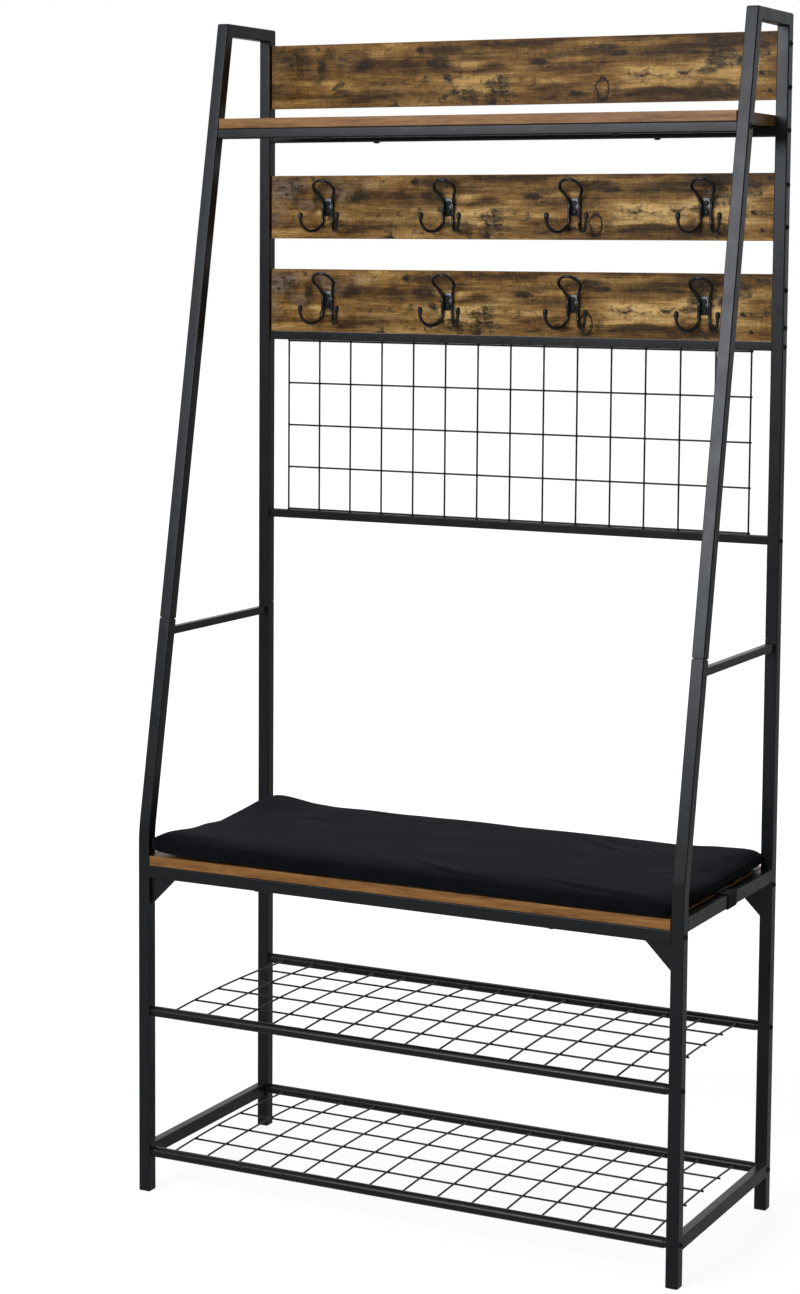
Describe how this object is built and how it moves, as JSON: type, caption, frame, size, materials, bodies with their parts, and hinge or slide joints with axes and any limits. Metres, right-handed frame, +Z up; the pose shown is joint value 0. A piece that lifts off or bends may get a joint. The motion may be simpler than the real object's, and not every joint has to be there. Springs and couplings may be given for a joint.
{
  "type": "hall tree with hooks",
  "caption": "Hall tree: a leaning steel frame with a padded bench, wire shoe shelves below, double coat hooks on boards, a wire grid and a hat shelf.",
  "frame": {"origin": "on the floor under the middle of the footprint", "axes": "+X to the right as seen from the front, +Y to the rear, +Z up; the front faces -Y"},
  "size_m": [0.8934, 0.386, 1.8],
  "materials": {
    "frame": "satin black powder coat",
    "wire": "satin black powder coat",
    "hook": "semi-gloss black paint",
    "board": "rustic brown wood-grain laminate, matt",
    "fabric": "plain woven black cover, matt",
    "webbing": "black woven band",
    "plastic": "black moulded plastic"
  },
  "bodies": {
    "root": {"back_grid": "wire", "base_shelf_front_tube": "frame", "base_shelf_mesh": "wire", "base_shelf_rear_tube": "frame", "bench_board": "board", "bench_front_rail": "frame", "bench_rear_rail": "frame", "grid_lower_crossbar": "frame", "grid_upper_crossbar": "frame", "hat_shelf_board": "board", "hat_shelf_front_rail": "frame", "hat_shelf_rear_rail": "frame", "left_arm_bar": "frame", "left_base_rail": "frame", "left_front_foot": "plastic", "left_front_gusset": "frame", "left_front_leg": "frame", "left_front_spigot": "plastic", "left_pad_strap": "webbing", "left_rear_foot": "plastic", "left_rear_gusset": "frame", "left_rear_leg": "frame", "left_rear_spigot": "plastic", "left_seat_rail": "frame", "left_top_rail": "frame", "left_upper_front_post": "frame", "left_upper_rear_post": "frame", "lower_hook_1": "hook", "lower_hook_2": "hook", "lower_hook_3": "hook", "lower_hook_4": "hook", "lower_hook_board": "board", "mid_shelf_front_tube": "frame", "mid_shelf_mesh": "wire", "mid_shelf_rear_tube": "frame", "right_arm_bar": "frame", "right_base_rail": "frame", "right_front_foot": "plastic", "right_front_gusset": "frame", "right_front_leg": "frame", "right_front_spigot": "plastic", "right_pad_strap": "webbing", "right_rear_foot": "plastic", "right_rear_gusset": "frame", "right_rear_leg": "frame", "right_rear_spigot": "plastic", "right_seat_rail": "frame", "right_top_rail": "frame", "right_upper_front_post": "frame", "right_upper_rear_post": "frame", "seat_pad": "fabric", "top_back_board": "board", "upper_hook_1": "hook", "upper_hook_2": "hook", "upper_hook_3": "hook", "upper_hook_4": "hook", "upper_hook_board": "board"}
  },
  "joints": []
}
